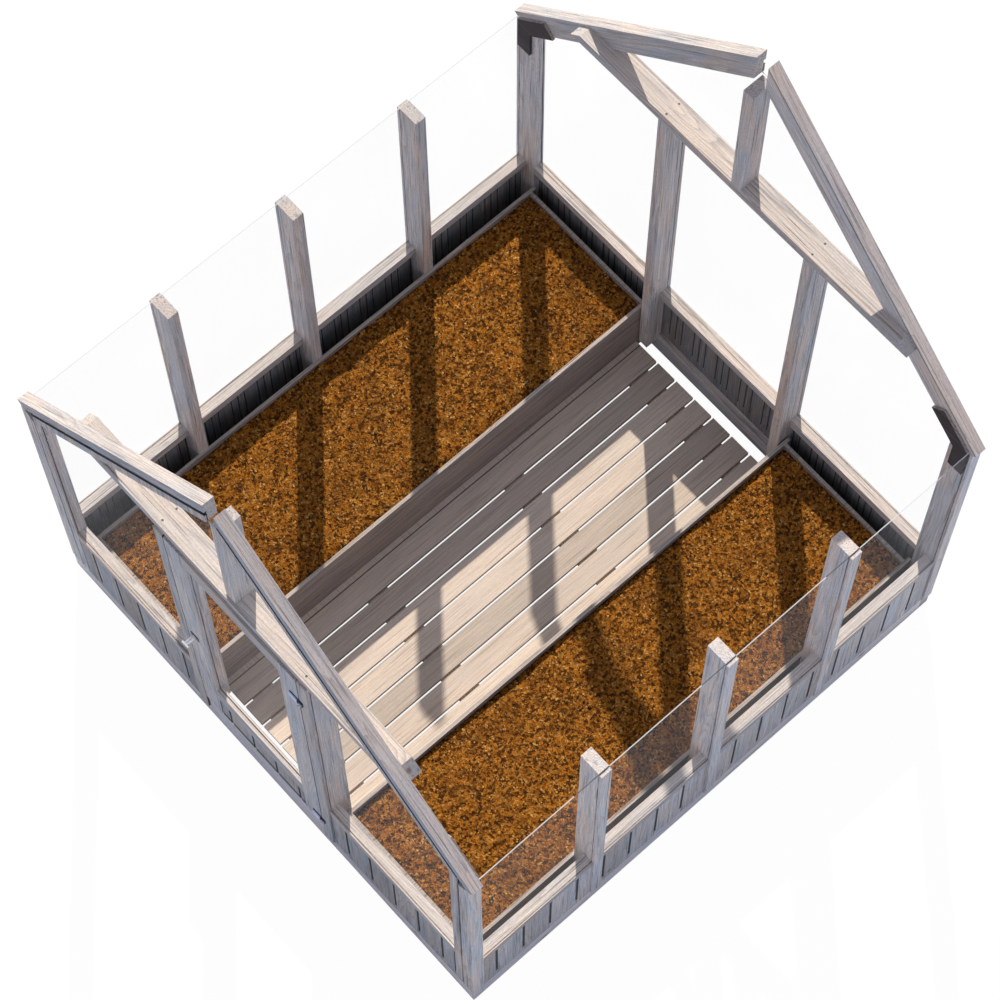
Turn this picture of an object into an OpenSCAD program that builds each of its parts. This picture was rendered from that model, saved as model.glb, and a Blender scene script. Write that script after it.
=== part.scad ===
/* [Overall] */
// Width over the side walls
width = 2400; // [2200:10:3000]
// Length over the gable walls
length = 2432; // [2000:8:3200]
// Height of the planked base walls
wall_h = 510; // [440:2:640]
// Height of the roof line above the outer face of a side wall
eave_h = 1620; // [1560:5:1800]
// Roof pitch in degrees
pitch = 45; // [42:1:50]
// Underside of the tie beams, which is the door head
tie_h = 1937; // [1860:1:2100]
// Open slot at the ridge, between the rafter ends
ridge_slot = 56; // [50:1:90]

/* [Timber] */
// Thickness of the frame timber
timber_t = 48; // [42:1:54]
// Width of the frame timber
timber_w = 98; // [92:1:110]
// Height of the ground sills
sill_h = 98; // [80:1:120]
// Height of the top rails of the base walls
rail_h = 48; // [36:1:60]
// Overhang of the rafter tips past the side walls
rafter_overhang = 21; // [10:1:30]
// Depth of the king posts' tops below the peak of the roof lines
king_drop = 180; // [172:1:300]
// Distance of the tie beams' bevelled ends below the roof line
tie_bevel = 13; // [6:1:30]
// Depth of the side posts' tops below the roof line over the walls
side_post_drop = 14; // [4:1:60]
// Number of side posts on each side
side_posts = 3; // [3:1:3]

/* [Cladding] */
// Thickness of the wall boards
board_t = 20; // [14:1:26]
// Cover width of a wall board
board_w = 135.5; // [100:0.5:160]
// Height of the plain board at the foot of the walls
plinth_h = 52; // [30:1:80]
// Chamfer along the outer edges of the wall boards
board_bevel = 6; // [3:0.5:8]
// Beads on the inner face of a whole wall board
board_beads = 4; // [2:1:6]
// Depth of the grooves between those beads
board_groove = 3; // [1:0.5:4]
// Width of the first board beside a corner post on a side wall
side_first_w = 71; // [40:1:100]
// Width of the first board of a gable wall
gable_first_w = 88; // [40:1:100]
// Width of the first board in the door's lower panel
door_first_w = 58; // [24:1:80]

/* [Glazing] */
// Thickness of the panes
glass_t = 4; // [3:1:5]
// Gap between neighbouring panes
pane_gap = 4; // [2:1:6]
// Lap of a pane on the timber behind it
pane_lap = 12; // [8:1:16]
// Thickness of the cover battens on the side walls
batten_t = 12; // [8:1:16]
// Stand of the side battens past the wall boards
batten_proud = 8; // [5:1:10]
// Foot of the battens and strips above the ground
strip_z = 100; // [98:1:130]
// Plain shoulder of the corner posts outside the glass rebate
shoulder_w = 54; // [40:1:60]
// Open groove between that shoulder and the glazing bead
groove_w = 9; // [4:1:12]
// Width of the glazing beads on the corner posts
bead_w = 37; // [34:1:44]
// Plain shoulder of the rafters outside the glass rebate
rafter_shoulder_w = 44; // [36:1:50]
// Open groove between that shoulder and the rafter's bead
rafter_groove_w = 20; // [12:1:24]
// Thickness of the gable glazing beads
bead_t = 6; // [4:1:8]
// Thickness of the strips on the gable studs
strip_t = 9; // [6:1:12]
// Depth of the gable glass below the peak of the roof lines
peak_glass_drop = 170; // [165:1:300]

/* [Gussets] */
// Thickness of the corner gussets
gusset_t = 12; // [9:1:18]
// Width of a gusset's arms
gusset_w = 76; // [66:1:94]
// Foot of the gussets above the ground
gusset_z = 1402; // [1340:1:1420]
// Reach of a gusset up the rafter, measured in from the side wall
gusset_reach = 150; // [120:1:170]
// Depth of a gusset's upper edge below the roof line
gusset_set = 28; // [18:1:34]

/* [Door] */
// Width of the door opening between the studs
door_opening = 700; // [640:2:760]
// Thickness of the door leaf
leaf_t = 48; // [44:1:50]
// Gap round the door leaf
leaf_gap = 4; // [3:0.5:5]
// Gap over the door leaf
head_gap = 6; // [5:1:10]
// Top of the threshold
threshold_h = 225; // [200:1:250]
// Gap under the door leaf
foot_gap = 13; // [6:1:20]
// Width of the stiles and of the top rail
stile_w = 98; // [80:1:110]
// Top of the middle rail above the ground
mid_rail_h = 510; // [470:1:640]
// Height of the middle rail
mid_rail_w = 98; // [80:1:120]
// Thickness of the middle rail
mid_rail_t = 28; // [24:1:34]
// Height of the bottom rail
foot_rail_w = 105; // [80:1:120]
// Thickness of the boards in the door's lower panel
door_board_t = 20; // [14:1:24]
// Set-back of those boards from the face of the stiles
door_board_set = 2; // [1:0.5:6]
// Depth of the glass groove in the door frame
door_groove = 8; // [6:1:10]
// Width of the stop laths
stop_w = 12; // [10:1:16]
// Thickness of the stop laths
stop_t = 12; // [8:1:14]

/* [Hardware] */
// Radius of the hinge knuckles
knuckle_r = 5.5; // [5:0.1:7]
// Radius of the hinge pins
pin_r = 2.5; // [2:0.1:3]
// Height of a hinge
hinge_h = 32; // [28:1:60]
// Length of a hinge leaf on the door
hinge_door_l = 50; // [40:1:80]
// Length of a hinge leaf on the stud
hinge_stud_l = 18; // [14:1:44]
// Thickness of the hinge leaves
hinge_t = 8; // [2:0.5:8]
// Height of the lower hinge
hinge_low_z = 315; // [280:1:380]
// Height of the upper hinge
hinge_high_z = 1723; // [1600:1:1800]
// Height of the latch
latch_z = 1013; // [850:1:1100]
// Distance of the latch spindle from the leaf's edge
latch_in = 41; // [30:1:50]
// Radius of the latch spindle
spindle_r = 5; // [4:0.1:6]
// Reach of the handle in front of the leaf
handle_reach = 50; // [44:1:60]
// Radius of the handle's neck
neck_r = 10; // [6:0.5:12]
// Radius of the handle's cross bar
bar_r = 6.5; // [4:0.5:8]
// Length of the handle's cross bar
bar_l = 34; // [30:1:60]
// Width of the latch plate
plate_w = 44; // [36:1:58]
// Height of the latch plate
plate_h = 30; // [26:1:60]
// Radius of the frame screws' heads
screw_head_r = 4.5; // [4:0.1:6]
// Radius of the frame screws' shanks
screw_r = 2.5; // [2:0.1:3]
// Length of the frame screws
screw_l = 110; // [90:1:140]

/* [Floor and beds] */
// Width of the aisle between the bed boards
aisle_w = 808; // [790:2:820]
// Width of a floor board
floor_w = 98; // [90:1:105]
// Number of floor boards
floor_n = 7; // [7:1:7]
// Thickness of the floor boards
floor_t = 22; // [18:1:28]
// Height of the floor joists
joist_h = 28; // [20:1:40]
// Gap between the floor's ends and the gable studs
floor_end_gap = 8; // [4:1:20]
// Thickness of the rims beside the floor
rim_t = 25; // [14:1:28]
// Thickness of the bed boards and liners
bed_t = 15; // [12:1:20]
// Height of the bed boards and liners
bed_h = 356; // [330:1:376]
// Set-back of the end liners behind the inner faces of the studs
liner_set = 14; // [0:1:24]
// Depth of the soil's surface below the upper edge of the bed boards
soil_drop = 20; // [12:1:60]

/* [Hidden] */
$fn = 48;
fit = 0.05;
rub = 0.3;
knuckle_gap = 0.5;
batten_short = 6;
tip_gap = 2;
notch_gap = 10;
eps = 1;
front_over = strip_t + handle_reach;
rear_over = strip_t;
base_y = (front_over - rear_over) / 2;
side_set = batten_t - batten_proud + glass_t;
post_face = side_set - glass_t;
rebate_d = bead_t + glass_t;
bead_u0 = shoulder_w + groove_w;
bead_u1 = bead_u0 + bead_w;
pane_in = shoulder_w + pane_gap / 2;
rafter_bead = rafter_shoulder_w + rafter_groove_w;
pane_top = rafter_bead + pane_gap / 2;
corner_line = timber_t / 2 + pane_gap;
post_pitch = (length - 2 * corner_line) / (side_posts + 1);
stud_u = width / 2 - door_opening / 2 - timber_t;
stud_u1 = stud_u + timber_t;
rebate_w = pane_lap + pane_gap / 2;
rafter_top_u = width / 2 - ridge_slot / 2;
tip_z = roof_z(-rafter_overhang);
post_foot = sill_h;
plank_z = sill_h + plinth_h;
rail_z = wall_h - rail_h;
stud_hang = 60;
gable_board_u1 = width - timber_w;
leaf_x0 = stud_u1 + leaf_gap;
leaf_x1 = width - leaf_x0;
leaf_y0 = -strip_t;
leaf_y1 = leaf_y0 + leaf_t;
leaf_z0 = threshold_h + foot_gap;
leaf_z1 = tie_h - head_gap;
panel_x0 = leaf_x0 + stile_w;
panel_x1 = leaf_x1 - stile_w;
board_y0 = leaf_y0 + door_board_set;
door_glass_y = bead_t;
door_glass_z0 = mid_rail_h - door_groove;
door_glass_z1 = leaf_z1 - stile_w + door_groove;
hinge_x = width - stud_u1;
leaf_face = knuckle_r + knuckle_gap;
hinge_y = -strip_t - leaf_face;
spindle_x = leaf_x0 + latch_in;
tongue_y = leaf_y1 + rub + stop_t + 1;
tongue_t = 4;
tongue_w = 12;
tongue_l = latch_in + leaf_gap - 1.5;
plate_t = 3;
aisle_x0 = (width - aisle_w) / 2;
aisle_x1 = width - aisle_x0;
bed_x0 = timber_w + bed_t;
bed_x1 = aisle_x0 - bed_t;
bed_y0 = timber_w - liner_set;
soil_h = bed_h - soil_drop;
floor_x0 = aisle_x0 + rim_t;
floor_gap = (aisle_w - 2 * rim_t - floor_n * floor_w) / (floor_n - 1);
floor_y0 = timber_w + floor_end_gap;
floor_y1 = length - timber_w - floor_end_gap;
joist_inset = 46;
second_joist = 651;
third_joist = 736;
joist_y = [floor_y0 + joist_inset, floor_y0 + second_joist,
           floor_y1 - third_joist - timber_w, floor_y1 - joist_inset - timber_w];
screw_in = [21, 83];
screw_head_t = 3;

// Height of the line that lies d square below the roof line, at u in from the side wall
function roof_z(u, d = 0) = eave_h + u * tan(pitch) - d / cos(pitch);
// Distance in from the side wall at which that line reaches height z
function roof_u(z, d = 0) = (z - eave_h + d / cos(pitch)) / tan(pitch);
// Underside of the rafter and its square-cut foot
function post_top(u) = max(tip_z - (u + rafter_overhang) / tan(pitch), roof_z(u, timber_w));
function side_post_y(k) = corner_line + k * post_pitch;
side_post_h = eave_h - side_post_drop;
king_h = roof_z(width / 2) - king_drop;
gable_glass_h = roof_z(width / 2) - peak_glass_drop;

// Puts a piece drawn at the front left corner into place, mirrored to the right or the rear
module at(right = 0, rear = 0) {
    translate([0, base_y, 0]) mirror([right, 0, 0]) mirror([0, rear, 0])
        translate([-width / 2, -length / 2, 0]) children();
}

module block(low, high) {
    translate(low) cube(high - low);
}

// Extrudes an outline drawn across the gable from depth y0 to y1
module slab(y0, y1) {
    translate([0, y1, 0]) rotate([90, 0, 0]) linear_extrude(y1 - y0) children();
}

module timber(shade = "#9d98a0") {
    color(shade) children();
}

module sill_gable(rear) {
    timber() at(0, rear) {
        block([0, 0, 0], [width, timber_t, sill_h]);
        if (rear == 0)
            block([stud_u1, 0, sill_h], [width - stud_u1, timber_t, threshold_h]);
    }
}

module sill_side(right) {
    timber() at(right) block([0, timber_t, 0], [timber_t, length - timber_t, sill_h]);
}

module corner_post(right, rear) {
    foot_u = timber_w * sin(pitch) - rafter_overhang;
    timber() at(right, rear) difference() {
        slab(0, timber_t) polygon([[post_face, post_foot], [timber_w, post_foot],
            [timber_w, post_top(timber_w)], [foot_u, post_top(foot_u)], [post_face, post_top(post_face)]]);
        block([post_face - eps, corner_line - pane_gap, wall_h], [side_set, timber_t + eps, eave_h]);
        block([shoulder_w, -eps, wall_h], [timber_w + eps, rebate_d, eave_h]);
        block([shoulder_w, -eps, post_foot - eps], [bead_u0, bead_t, wall_h + eps]);
    }
}

module side_post(right, k) {
    y0 = side_post_y(k) - timber_t / 2;
    timber() at(right) {
        block([board_t, y0, post_foot], [timber_w, y0 + timber_t, rail_z]);
        block([side_set, y0, rail_z], [timber_w, y0 + timber_t, side_post_h]);
    }
}

module stud_screw_holes(right) {
    x = stud_u + timber_t / 2;
    for (y = screw_in)
        translate([x, y, tie_h + timber_t - screw_l - eps]) cylinder(r = screw_r + fit, h = screw_l + 2 * eps);
}

module door_post(right) {
    timber() at(right) difference() {
        union() {
            block([stud_u, 0, post_foot], [stud_u1, timber_w, tie_h]);
            block([stud_u, timber_t, stud_hang], [stud_u1, timber_w, post_foot]);
        }
        block([stud_u - eps, -eps, wall_h], [stud_u + rebate_w, rebate_d, tie_h + eps]);
        stud_screw_holes();
    }
}

module rear_stud(right) {
    timber() at(right, 1) difference() {
        union() {
            block([stud_u, board_t, post_foot], [stud_u1, timber_w, rail_z]);
            block([stud_u, 0, rail_z], [stud_u1, timber_w, tie_h]);
            block([stud_u, timber_t, stud_hang], [stud_u1, timber_w, post_foot]);
        }
        block([stud_u - eps, -eps, wall_h], [stud_u + rebate_w, rebate_d, tie_h + eps]);
        block([stud_u1 - rebate_w, -eps, wall_h], [stud_u1 + eps, rebate_d, tie_h + eps]);
        stud_screw_holes();
    }
}

module rafter(right, rear) {
    timber("#b9b0a8") at(right, rear) difference() {
        slab(0, timber_t) polygon([[-rafter_overhang, tip_z], [rafter_top_u, roof_z(rafter_top_u)],
            [rafter_top_u, roof_z(rafter_top_u, timber_w)],
            [timber_w * sin(pitch) - rafter_overhang, tip_z - timber_w * cos(pitch)]]);
        slab(-eps, rebate_d) polygon([[-width, roof_z(-width, rafter_shoulder_w)],
            [width, roof_z(width, rafter_shoulder_w)], [width, 0], [-width, 0]]);
    }
}

// Outline of a tie beam whose bevelled ends lie d below the roof line
module tie_outline(d) {
    polygon([[roof_u(tie_h, d), tie_h], [width - roof_u(tie_h, d), tie_h],
        [width - roof_u(tie_h + timber_t, d), tie_h + timber_t], [roof_u(tie_h + timber_t, d), tie_h + timber_t]]);
}

module tie_beam(rear) {
    timber("#c4b8aa") at(0, rear) difference() {
        union() {
            slab(0, rebate_d) tie_outline(bead_u1);
            slab(rebate_d, timber_t) tie_outline(timber_w);
            slab(timber_t, timber_w) tie_outline(tie_bevel);
        }
        for (x = [stud_u + timber_t / 2, width - stud_u - timber_t / 2], y = screw_in) {
            translate([x, y, tie_h - eps]) cylinder(r = screw_r + fit, h = timber_t + 2 * eps);
            translate([x, y, tie_h + timber_t - screw_head_t]) cylinder(r = screw_head_r + fit, h = timber_t);
        }
    }
}

module king_post(rear) {
    timber() at(0, rear) block([(width - timber_t) / 2, rebate_d, tie_h + timber_t],
        [(width + timber_t) / 2, timber_w, king_h]);
}

module gusset(right, rear) {
    end_z = roof_z(gusset_reach, gusset_set);
    at(right, rear) slab(timber_t, timber_t + gusset_t) polygon([
        [side_set, gusset_z], [side_set, roof_z(side_set, gusset_set)], [gusset_reach, end_z],
        [gusset_reach + gusset_w * sin(pitch), end_z - gusset_w * cos(pitch)],
        [gusset_w, roof_z(gusset_w, gusset_set + gusset_w)], [gusset_w, gusset_z]]);
}

module gussets() {
    timber("#3c342f") for (right = [0, 1], rear = [0, 1]) gusset(right, rear);
}

module side_battens(right) {
    corner_top = tip_z - (post_face + rafter_overhang) / tan(pitch) - tip_gap;
    timber() at(right) {
        for (k = [1:side_posts]) {
            y0 = side_post_y(k) - timber_t / 2;
            block([-batten_proud, y0, strip_z], [0, y0 + timber_t, side_post_h - batten_short]);
            block([0, y0, wall_h], [post_face, y0 + timber_t, side_post_h - batten_short]);
        }
        for (y0 = [0, length - timber_t])
            block([-batten_proud, y0, strip_z], [post_face, y0 + timber_t, corner_top]);
    }
}

// Bead up the corner post and bead up the rafter, mitred where they meet
module gable_beads() {
    low = [bead_u0, roof_z(bead_u0, rafter_bead)];
    high = [bead_u1, roof_z(bead_u1, bead_u1)];
    slab(0, bead_t) polygon([[bead_u0, wall_h], [bead_u1, wall_h], high, low]);
    slab(0, bead_t) polygon([low, high, [rafter_top_u, roof_z(rafter_top_u, bead_u1)],
        [rafter_top_u, roof_z(rafter_top_u, rafter_bead)]]);
}

// Strip over a gable stud, with tongues that hold the panes beside it
module stud_strip(both) {
    block([stud_u, -strip_t, strip_z], [stud_u1, 0, tie_h]);
    block([stud_u, -eps, wall_h], [stud_u + rebate_w - eps, bead_t, tie_h]);
    if (both) block([stud_u1 - rebate_w + eps, -eps, wall_h], [stud_u1, bead_t, tie_h]);
}

module gable_strips(rear) {
    timber() for (right = [0, 1]) at(right, rear) {
        gable_beads();
        stud_strip(rear == 1);
    }
}

// A wall board from a to b: bevelled outside, with the inner grooves of a whole board that starts at edge
module board(a, b, edge, t, z0, z1) {
    cuts = [for (k = [board_beads - 1:-1:1]) edge + k * board_w / board_beads];
    translate([0, 0, z0]) linear_extrude(z1 - z0) polygon(concat(
        [[a, t], [a, board_bevel], [a + board_bevel, 0], [b - board_bevel, 0], [b, board_bevel], [b, t]],
        [for (x = cuts) if (x > a + board_bevel && x < b - board_bevel)
            each [[x + board_groove, t], [x, t - board_groove], [x - board_groove, t]]]));
}

// A row of boards between a and b whose first joint lies at a + first
module board_row(a, b, first, t, z0, z1) {
    inner = [for (x = [a + first:board_w:b - 3 * board_bevel]) x];
    joints = concat([a], inner, [b]);
    for (k = [0:len(joints) - 2])
        board(joints[k], joints[k + 1], k == 0 ? a + first - board_w : joints[k], t, z0, z1);
}

module cladding_side(right) {
    timber("#8f8b93") at(right) {
        block([0, timber_t, sill_h], [board_t, length - timber_t, plank_z]);
        mirror([1, -1, 0])
            board_row(timber_t, length - timber_t, side_first_w, board_t, plank_z, rail_z);
    }
}

module cladding_front() {
    timber("#8f8b93") for (start = [timber_w, width - stud_u]) at() {
        block([start, 0, sill_h], [start + stud_u - timber_w, board_t, plank_z]);
        board_row(start, start + stud_u - timber_w, gable_first_w, board_t, plank_z, rail_z);
    }
}

module cladding_rear() {
    timber("#8f8b93") at(0, 1) {
        block([timber_w, 0, sill_h], [gable_board_u1, board_t, plank_z]);
        board_row(timber_w, gable_board_u1, gable_first_w, board_t, plank_z, rail_z);
    }
}

module rail_side(right) {
    ends = concat([timber_t], [for (k = [1:side_posts], s = [-1, 1]) side_post_y(k) + s * timber_t / 2],
        [length - timber_t]);
    timber("#c4b8aa") at(right) for (k = [0:2:len(ends) - 2])
        block([0, ends[k], rail_z], [timber_t, ends[k + 1], wall_h]);
}

module rail_gable(rear) {
    timber("#c4b8aa") at(0, rear) {
        block([timber_w, 0, rail_z], [stud_u, timber_t, wall_h]);
        block([width - stud_u, 0, rail_z], [width - timber_w, timber_t, wall_h]);
        if (rear) block([stud_u1, 0, rail_z], [width - stud_u1, timber_t, wall_h]);
    }
}

module pane_colour() {
    color([0.8, 0.86, 0.86, 0.35]) children();
}

module glass_side(right) {
    notch_z = post_top(post_face) - notch_gap;
    pane_colour() at(right) difference() {
        for (k = [0:side_posts])
            block([post_face, side_post_y(k) + pane_gap / 2, wall_h],
                [side_set, side_post_y(k + 1) - pane_gap / 2, side_post_h]);
        for (y = [0, length - timber_t])
            block([-eps, y - rub, notch_z], [side_set + eps, y + timber_t + rub, side_post_h + eps]);
    }
}

// Pane of a gable's outer bay, lapping the corner post, the rafter and the stud
module bay_pane() {
    slab(bead_t, rebate_d) polygon([[pane_in, wall_h], [stud_u + pane_lap, wall_h],
        [stud_u + pane_lap, tie_h], [roof_u(tie_h, pane_top), tie_h], [pane_in, roof_z(pane_in, pane_top)]]);
}

// Pane over a tie beam, in front of the king post
module peak_pane() {
    foot = tie_h + timber_t;
    slab(bead_t, rebate_d) polygon([[roof_u(foot, pane_top), foot], [width - roof_u(foot, pane_top), foot],
        [width - roof_u(gable_glass_h, pane_top), gable_glass_h], [roof_u(gable_glass_h, pane_top), gable_glass_h]]);
}

module glass_gable(rear) {
    pane_colour() {
        for (right = [0, 1]) at(right, rear) bay_pane();
        at(0, rear) peak_pane();
        if (rear) at(0, rear) block([stud_u1 - pane_lap, bead_t, wall_h],
            [width - stud_u1 + pane_lap, rebate_d, tie_h]);
    }
}

module floor_boards() {
    timber("#b8a48e") at() for (k = [0:floor_n - 1]) {
        x = floor_x0 + k * (floor_w + floor_gap);
        block([x, floor_y0, joist_h], [x + floor_w, floor_y1, joist_h + floor_t]);
    }
}

module floor_joists() {
    timber("#84786e") at() {
        for (y = joist_y) block([aisle_x0 + rim_t, y, 0], [aisle_x1 - rim_t, y + timber_w, joist_h]);
        for (x = [aisle_x0, aisle_x1 - rim_t])
            block([x, floor_y0, 0], [x + rim_t, floor_y1, joist_h + floor_t]);
    }
}

module bed_board(right) {
    timber("#6a5f5a") at(right) block([bed_x1, timber_t, 0], [aisle_x0, length - timber_t, bed_h]);
}

module bed_liners() {
    timber("#6a5f5a") for (right = [0, 1]) at(right) {
        block([timber_w, timber_t, 0], [bed_x0, length - timber_t, bed_h]);
        for (y = [bed_y0 - bed_t, length - bed_y0]) block([bed_x0, y, 0], [bed_x1, y + bed_t, bed_h]);
    }
}

module soil(right) {
    color("#5a3a22") at(right) block([bed_x0, bed_y0, 0], [bed_x1, length - bed_y0, soil_h]);
}

module frame_screws() {
    top = tie_h + timber_t;
    color("#3a3a3c") for (right = [0, 1], rear = [0, 1], y = screw_in) at(right, rear)
        translate([stud_u + timber_t / 2, y, 0]) {
            translate([0, 0, top - screw_l]) cylinder(r = screw_r, h = screw_l - eps);
            translate([0, 0, top - screw_head_t]) cylinder(r = screw_head_r, h = screw_head_t - eps);
        }
}

module door_stops() {
    y0 = leaf_y1 + rub;
    timber("#6f6a70") {
        for (right = [0, 1]) at(right)
            block([stud_u1, y0, threshold_h], [stud_u1 + stop_w, y0 + stop_t, tie_h]);
        at() block([stud_u1 + stop_w, y0, tie_h - head_gap - stop_w], [width - stud_u1 - stop_w, y0 + stop_t, tie_h]);
    }
}

// Space of the door's pane, widened by the play in its groove
module door_pane(play) {
    block([panel_x0 - door_groove + 1 - play, door_glass_y - play, door_glass_z0],
        [panel_x1 + door_groove - 1 + play, door_glass_y + glass_t + play, door_glass_z1 - 1 + play]);
}

module door_stiles() {
    timber() at() difference() {
        for (x = [leaf_x0, panel_x1]) block([x, leaf_y0, leaf_z0], [x + stile_w, leaf_y1, leaf_z1]);
        door_pane(rub);
        translate([spindle_x, leaf_y0 - eps, latch_z]) rotate([-90, 0, 0])
            cylinder(r = spindle_r + fit, h = leaf_t + 2 * eps);
    }
}

module door_rails() {
    timber() at() difference() {
        union() {
            block([panel_x0, leaf_y0, leaf_z1 - stile_w], [panel_x1, leaf_y1, leaf_z1]);
            block([panel_x0, leaf_y0, mid_rail_h - mid_rail_w], [panel_x1, leaf_y0 + mid_rail_t, mid_rail_h]);
            block([panel_x0, board_y0 + door_board_t, leaf_z0], [panel_x1, leaf_y1, leaf_z0 + foot_rail_w]);
        }
        door_pane(rub);
    }
}

module door_cladding() {
    timber("#8f8b93") at() translate([0, board_y0, 0])
        board_row(panel_x0, panel_x1, door_first_w, door_board_t, leaf_z0, mid_rail_h - mid_rail_w);
}

module door_glass() {
    pane_colour() at() door_pane(0);
}

module door_hinge_leaves() {
    mid = hinge_h / 6;
    color("#8d93a5") at() for (z = [hinge_low_z, hinge_high_z]) translate([hinge_x, hinge_y, z])
        difference() {
            union() {
                translate([0, 0, -mid]) cylinder(r = knuckle_r, h = 2 * mid);
                block([-hinge_door_l, leaf_face - hinge_t, -hinge_h / 2],
                    [-knuckle_r - 1, leaf_face, hinge_h / 2]);
                block([-knuckle_r - 1 - eps, leaf_face - hinge_t, -mid], [0, knuckle_r, mid]);
            }
            translate([0, 0, -mid - eps]) cylinder(r = pin_r + fit, h = 2 * mid + 2 * eps);
        }
}

module post_hinge_leaves() {
    mid = hinge_h / 6;
    color("#4a4b50") at() for (z = [hinge_low_z, hinge_high_z]) translate([hinge_x, hinge_y, z]) {
        translate([0, 0, -hinge_h / 2]) cylinder(r = pin_r, h = hinge_h);
        for (s = [-1, 1]) {
            z0 = s > 0 ? mid + rub : -hinge_h / 2;
            z1 = s > 0 ? hinge_h / 2 : -mid - rub;
            translate([0, 0, z0]) cylinder(r = knuckle_r, h = z1 - z0);
            block([0, leaf_face - hinge_t, z0], [knuckle_r + 1 + eps, knuckle_r, z1]);
        }
        block([knuckle_r + 1, leaf_face - hinge_t, -hinge_h / 2],
            [hinge_stud_l, leaf_face, hinge_h / 2]);
    }
}

module latch_plate() {
    color("#2a2a2c") at() translate([spindle_x, leaf_y0, latch_z]) difference() {
        block([-plate_w / 2, -plate_t, -plate_h / 2], [plate_w / 2, 0, plate_h / 2]);
        translate([0, -plate_t - eps, 0]) rotate([-90, 0, 0])
            cylinder(r = spindle_r + fit, h = plate_t + 2 * eps);
    }
}

module latch_handle() {
    neck = handle_reach - bar_r;
    color("#c9ccd2") at() translate([spindle_x, 0, latch_z]) {
        translate([0, leaf_y0 - neck, 0]) rotate([-90, 0, 0])
            cylinder(r = spindle_r, h = tongue_y + tongue_t - leaf_y0 + neck);
        translate([0, leaf_y0 - neck, 0]) rotate([-90, 0, 0]) cylinder(r = neck_r, h = neck - plate_t - rub);
        translate([-bar_l / 2, leaf_y0 - neck, 0]) rotate([0, 90, 0]) cylinder(r = bar_r, h = bar_l);
        block([-tongue_w / 2, tongue_y, -tongue_l], [tongue_w / 2, tongue_y + tongue_t, tongue_w / 2]);
    }
}

sill_gable(0);  // sill_front
sill_gable(1);  // sill_rear
sill_side(0);  // sill_left
sill_side(1);  // sill_right
corner_post(0, 0);  // corner_post_front_left
corner_post(1, 0);  // corner_post_front_right
corner_post(0, 1);  // corner_post_rear_left
corner_post(1, 1);  // corner_post_rear_right
side_post(0, 1);  // left_post_1
side_post(0, 2);  // left_post_2
side_post(0, 3);  // left_post_3
side_post(1, 1);  // right_post_1
side_post(1, 2);  // right_post_2
side_post(1, 3);  // right_post_3
door_post(0);  // door_post_left
door_post(1);  // door_post_right
rear_stud(0);  // rear_stud_left
rear_stud(1);  // rear_stud_right
rafter(0, 0);  // rafter_front_left
rafter(1, 0);  // rafter_front_right
rafter(0, 1);  // rafter_rear_left
rafter(1, 1);  // rafter_rear_right
tie_beam(0);  // tie_beam_front
tie_beam(1);  // tie_beam_rear
king_post(0);  // king_post_front
king_post(1);  // king_post_rear
gussets();
side_battens(0);  // left_battens
side_battens(1);  // right_battens
gable_strips(0);  // front_strips
gable_strips(1);  // rear_strips
cladding_side(0);  // cladding_left
cladding_side(1);  // cladding_right
cladding_front();
cladding_rear();
rail_side(0);  // rail_left
rail_side(1);  // rail_right
rail_gable(0);  // rail_front
rail_gable(1);  // rail_rear
glass_side(0);  // glass_left
glass_side(1);  // glass_right
glass_gable(0);  // glass_front
glass_gable(1);  // glass_rear
floor_boards();
floor_joists();
bed_board(0);  // bed_board_left
bed_board(1);  // bed_board_right
bed_liners();
soil(0);  // soil_left
soil(1);  // soil_right
frame_screws();
door_stops();
door_stiles();
door_rails();
door_cladding();
door_glass();
door_hinge_leaves();
post_hinge_leaves();
latch_plate();
latch_handle();
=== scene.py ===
from math import radians

import bpy
import numpy as np
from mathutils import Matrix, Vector


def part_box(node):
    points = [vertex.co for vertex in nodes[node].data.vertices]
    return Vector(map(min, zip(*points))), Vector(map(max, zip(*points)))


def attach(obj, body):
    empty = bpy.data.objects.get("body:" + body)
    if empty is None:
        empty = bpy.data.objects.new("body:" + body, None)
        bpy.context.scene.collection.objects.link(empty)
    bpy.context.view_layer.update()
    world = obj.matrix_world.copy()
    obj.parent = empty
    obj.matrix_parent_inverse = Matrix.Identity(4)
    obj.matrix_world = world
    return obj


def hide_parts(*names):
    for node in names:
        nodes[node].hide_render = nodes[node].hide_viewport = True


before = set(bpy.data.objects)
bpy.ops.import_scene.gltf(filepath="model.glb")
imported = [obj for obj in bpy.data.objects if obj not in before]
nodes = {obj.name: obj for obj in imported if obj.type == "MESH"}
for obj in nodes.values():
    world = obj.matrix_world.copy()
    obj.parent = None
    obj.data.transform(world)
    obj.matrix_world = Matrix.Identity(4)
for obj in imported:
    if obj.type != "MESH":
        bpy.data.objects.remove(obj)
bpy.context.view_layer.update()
scene = bpy.context.scene
print("frame loaded:", len(nodes), "nodes")


# camera, fitted to the photograph
camera = {"place": (3.3576, -2.9418, 11.9719), "turn": (21.878, 0.0, 48.064), "lens": 114.44,
          "sensor": 36.0, "shift": (-0.01038, 0.006375)}
lens = bpy.data.cameras.new("camera")
lens.lens, lens.sensor_width = camera["lens"], camera["sensor"]
lens.shift_x, lens.shift_y = camera["shift"]
viewer = bpy.data.objects.new("camera", lens)
viewer.location = camera["place"]
viewer.rotation_euler = [radians(a) for a in camera["turn"]]
scene.collection.objects.link(viewer)
scene.camera = viewer


# small helpers for node trees
def feed(tree, socket, value):
    if isinstance(value, bpy.types.NodeSocket):
        tree.links.new(value, socket)
    else:
        socket.default_value = value


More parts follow.
